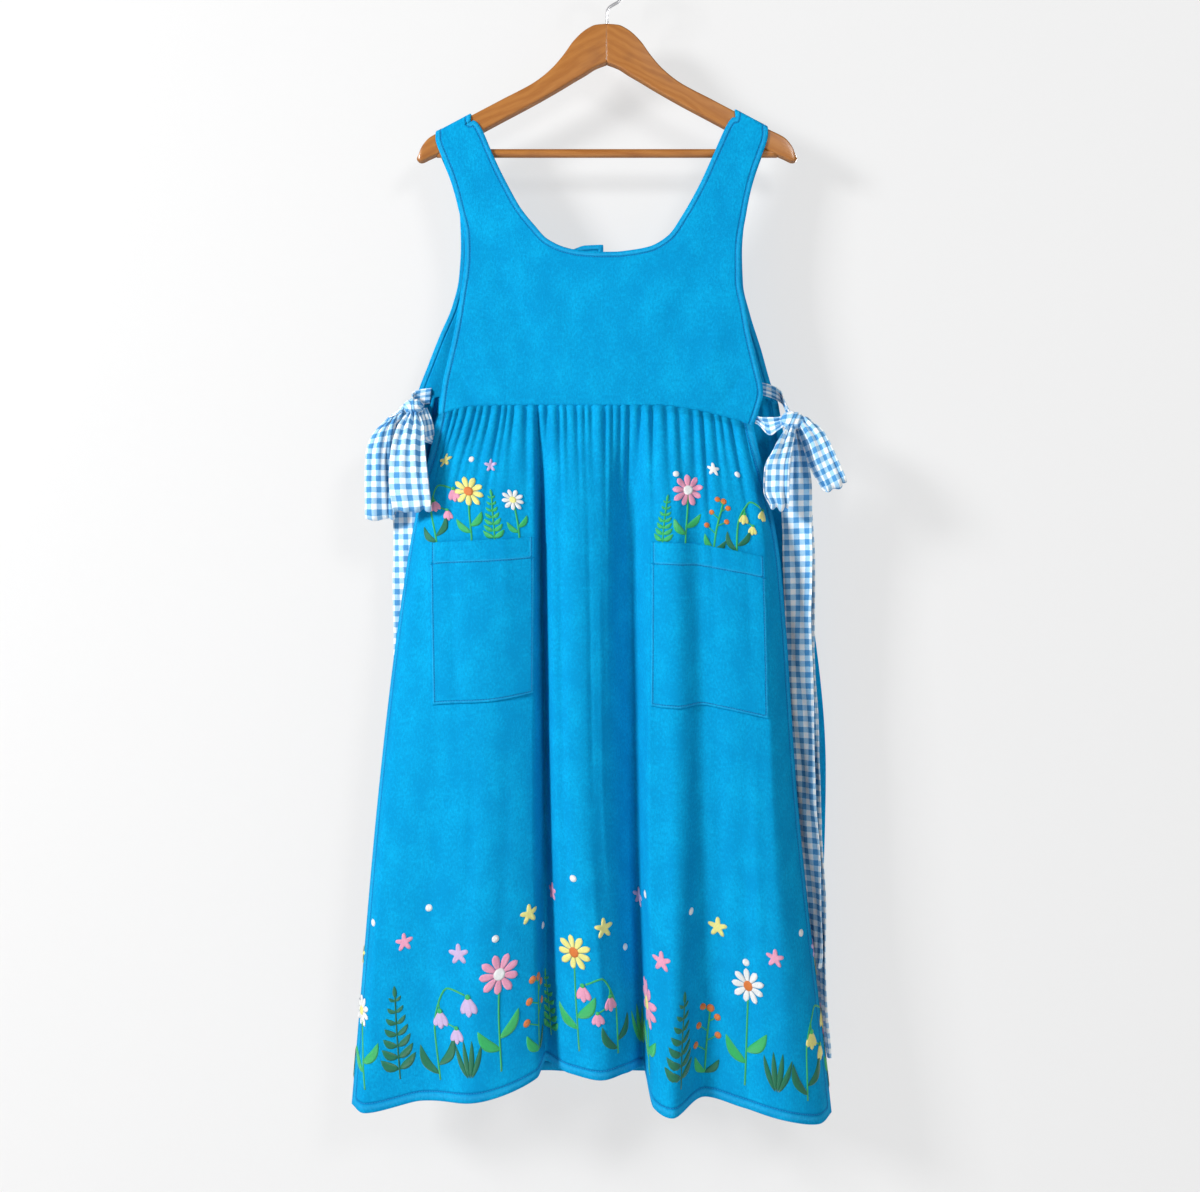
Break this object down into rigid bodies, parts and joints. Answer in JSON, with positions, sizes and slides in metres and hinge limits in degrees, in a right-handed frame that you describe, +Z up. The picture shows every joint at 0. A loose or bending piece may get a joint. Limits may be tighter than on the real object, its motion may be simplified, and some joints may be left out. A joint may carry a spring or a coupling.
{
  "type": "apron dress on a wooden hanger",
  "caption": "Sleeveless blue apron dress with open sides tied in gingham bows, gathered skirt and patch pockets, hanging on a wooden hanger.",
  "frame": {"origin": "top of the inside of the hanger's hook, where it rests on a rail or a peg", "axes": "+Z up along the dress, -Y towards the front, +X to the viewer's right when facing the front"},
  "size_m": [0.5688, 0.1274, 1.3344],
  "materials": {
    "bodice_cotton": "matte cotton twill",
    "skirt_cotton": "matte cotton twill",
    "gingham": "matte woven check",
    "wood": "clear satin varnish",
    "steel": "plated wire",
    "button": "satin"
  },
  "bodies": {
    "root": {"front_bodice": "bodice_cotton", "back_bodice_left": "bodice_cotton", "back_bodice_right": "bodice_cotton", "front_skirt": "skirt_cotton", "back_skirt": "skirt_cotton", "pocket_left": "skirt_cotton", "pocket_right": "skirt_cotton", "button_1": "button", "button_2": "button", "button_3": "button", "knot_left": "gingham", "loop_front_left": "gingham", "loop_rear_left": "gingham", "tail_left": "gingham", "tail_under_left": "gingham", "tie_front_left": "gingham", "tie_back_left": "gingham", "knot_right": "gingham", "loop_inner_right": "gingham", "loop_outer_right": "gingham", "tail_right": "gingham", "tail_under_right": "gingham", "tie_front_right": "gingham", "tie_back_right": "gingham", "hanger_arm_left": "wood", "hanger_arm_right": "wood", "hanger_bar": "wood", "hanger_hook": "steel"}
  },
  "joints": []
}
